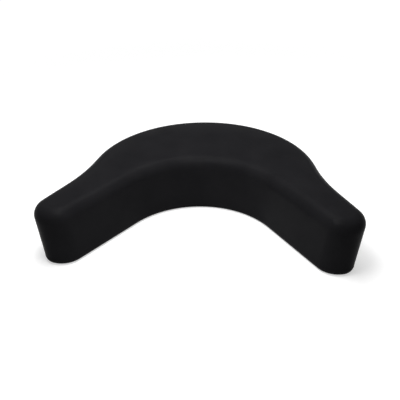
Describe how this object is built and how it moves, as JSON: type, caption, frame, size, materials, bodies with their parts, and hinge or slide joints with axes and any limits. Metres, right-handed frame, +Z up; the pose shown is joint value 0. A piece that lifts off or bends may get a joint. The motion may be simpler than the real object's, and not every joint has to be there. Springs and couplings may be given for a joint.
{
  "type": "wraparound headrest pad",
  "caption": "Crescent headrest pad of black self-skinned foam, with a concave cradle and forward wings, on a moulded-in base plate with threaded fixing points.",
  "frame": {"origin": "middle of the four fixing points, on the flat underside", "axes": "+X to the right across the wings, +Y towards the round back, +Z up from the base to the top face; the cradle for the head opens towards -Y"},
  "size_m": [0.2998, 0.2075, 0.0593],
  "materials": {
    "skin": "satin",
    "foam": "matte",
    "plate": "matte",
    "nut": "satin",
    "cap": "satin"
  },
  "bodies": {
    "root": {"pad_skin": "skin", "foam_core": "foam", "base_plate": "plate", "tee_nut_front_left": "nut", "tee_nut_front_right": "nut", "tee_nut_rear_left": "nut", "tee_nut_rear_right": "nut", "nut_cap_front_left": "cap", "nut_cap_front_right": "cap", "nut_cap_rear_left": "cap", "nut_cap_rear_right": "cap"}
  },
  "joints": []
}
